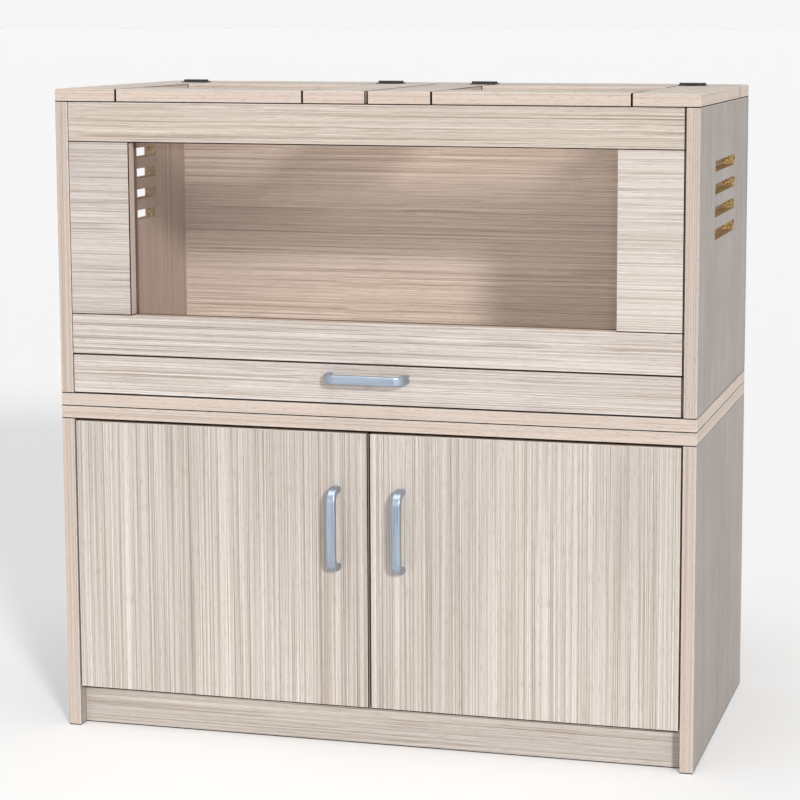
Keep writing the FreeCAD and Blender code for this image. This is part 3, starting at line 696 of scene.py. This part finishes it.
def cross_punch(reach, deep):
    """A plus-shaped bar, tapered towards its lower end, that cuts a recess of the given depth."""
    punch = start_shape(bpy.ops.mesh.primitive_cube_add, size=CROSS_WIDE, location=(0, 0, 0))
    bpy.ops.transform.resize(value=(1, 1, 2 * deep / CROSS_WIDE))
    for axis, way in ((X, 1), (X, -1), (Y, 1), (Y, -1)):
        pick_faces(punch, lambda face: face.normal[axis] * way > UPRIGHT
                   and abs(face.center[1 - axis]) < CROSS_WIDE / 4)
        step = [0, 0, 0]
        step[axis] = way * reach
        draw_out(step)
    pick_faces(punch, faces_down)
    bpy.ops.transform.resize(value=(CROSS_TAPER, CROSS_TAPER, 1))
    bpy.ops.object.mode_set(mode="OBJECT")
    return punch


def punch_head(screw, punch, top):
    """Cuts the cross recess into the head, whose top is at the given height."""
    punch.location.z = top
    recess = screw.modifiers.new("recess", "BOOLEAN")
    recess.object = punch
    recess.solver = "EXACT"
    bpy.ops.object.select_all(action="DESELECT")
    screw.select_set(True)
    bpy.context.view_layer.objects.active = screw
    bpy.ops.object.modifier_apply(modifier=recess.name)
    bpy.data.objects.remove(punch)
    bpy.ops.object.shade_smooth_by_angle(angle=SMOOTH_BELOW)


def countersunk_screw(radius, length):
    """A wood screw along Z, with the top of its head at zero."""
    screw = start_shape(bpy.ops.mesh.primitive_cylinder_add, vertices=ROUND_FACES, radius=radius,
                        depth=SCREW_LAND, location=(0, 0, -SCREW_LAND / 2))
    pick_faces(screw, faces_down)
    draw_out((0, 0, SCREW_LAND - SCREW_HEAD_DEEP), SCREW_CORE / radius)
    draw_out((0, 0, SCREW_HEAD_DEEP + POINT_LONG - length))
    draw_out((0, 0, -POINT_LONG), POINT_SHARP)
    bpy.ops.object.mode_set(mode="OBJECT")
    punch_head(screw, cross_punch(CROSS_REACH * radius, SCREW_PUNCH * SCREW_HEAD_DEEP), 0)
    return screw


def domed_bolt(radius, length):
    """A handle bolt along Z, with the top of its head at zero."""
    land = BOLT_HEAD_DEEP - BOLT_DOME
    bolt = start_shape(bpy.ops.mesh.primitive_cylinder_add, vertices=ROUND_FACES, radius=radius,
                       depth=land, location=(0, 0, -BOLT_DOME - land / 2))
    pick_faces(bolt, faces_up)
    for share, rise in DOME_STEPS:
        draw_out((0, 0, rise * BOLT_DOME), share)
    pick_faces(bolt, faces_down)
    bpy.ops.mesh.inset(thickness=radius - BOLT_CORE)
    draw_out((0, 0, BOLT_HEAD_DEEP + POINT_LONG - length))
    draw_out((0, 0, -POINT_LONG), POINT_BLUNT)
    bpy.ops.object.mode_set(mode="OBJECT")
    punch_head(bolt, cross_punch(CROSS_REACH * radius, BOLT_PUNCH * BOLT_HEAD_DEEP), 0)
    return bolt


def loose_boxes(name):
    """The low and high corners of each separate solid in a CAD node."""
    bpy.ops.object.select_all(action="DESELECT")
    copy = frame["nodes"][name].copy()
    copy.data = copy.data.copy()
    bpy.context.scene.collection.objects.link(copy)
    copy.select_set(True)
    bpy.context.view_layer.objects.active = copy
    bpy.ops.object.mode_set(mode="EDIT")
    bpy.ops.mesh.select_all(action="SELECT")
    bpy.ops.mesh.remove_doubles(threshold=WELD)
    bpy.ops.mesh.separate(type="LOOSE")
    bpy.ops.object.mode_set(mode="OBJECT")
    boxes = []
    for part in list(bpy.context.selected_objects):
        spots = [v.co for v in part.data.vertices]
        boxes.append((Vector([min(s[i] for s in spots) for i in range(3)]),
                      Vector([max(s[i] for s in spots) for i in range(3)])))
        bpy.data.objects.remove(part)
    return boxes


def pattern_for(turn, name):
    """Turns one screw of the size that a CAD node's first solid has."""
    low, high = loose_boxes(name)[0]
    across, _, length = sorted(high - low)
    return turn(across / 2, length)


def fit_screws(pattern, node_name, piece_name, body, towards_middle=False):
    """Sets a copy of the pattern in each solid of a CAD node. Its head faces up or back, or
    towards the middle of the cage."""
    copies = []
    for low, high in loose_boxes(node_name):
        axis = max(range(3), key=lambda i: high[i] - low[i])
        side = -1 if towards_middle and low.x > 0 else 1
        place = (low + high) / 2
        place[axis] = high[axis] if side > 0 else low[axis]
        out = Vector((0, 0, 0))
        out[axis] = side
        screw = pattern.copy()
        screw.data = pattern.data.copy()
        bpy.context.scene.collection.objects.link(screw)
        screw.rotation_mode = "QUATERNION"
        screw.rotation_quaternion = Vector((0, 0, 1)).rotation_difference(out)
        screw.location = place
        copies.append(screw)
    bpy.ops.object.select_all(action="DESELECT")
    for screw in copies:
        screw.select_set(True)
    bpy.context.view_layer.objects.active = copies[0]
    bpy.ops.object.join()
    bpy.ops.object.transform_apply(location=True, rotation=True, scale=True)
    joined = bpy.context.object
    joined.name = piece_name
    joined.data.materials.clear()
    joined.data.materials.append(nickel)
    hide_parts(node_name)
    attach(joined, body)


wood_screw = pattern_for(countersunk_screw, "hinge_arm_screws")
bolt = pattern_for(domed_bolt, "tray_handle_bolts")
fit_screws(wood_screw, "lid_hinge_base_screws", "rear_rail_screws", "carcass")
fit_screws(wood_screw, "hinge_arm_screws", "arm_plate_screws", "carcass", towards_middle=True)
fit_screws(bolt, "tray_handle_bolts", "tray_handle_screws", "tray")
for side in ("left", "right"):
    lid, door = "lid_" + side, "door_" + side
    fit_screws(wood_screw, lid + "_hinge_screws", lid + "_leaf_screws", lid)
    fit_screws(wood_screw, door + "_hinge_screws", door + "_cup_screws", door)
    fit_screws(bolt, door + "_handle_bolts", door + "_handle_screws", door)
bpy.data.objects.remove(wood_screw)
bpy.data.objects.remove(bolt)
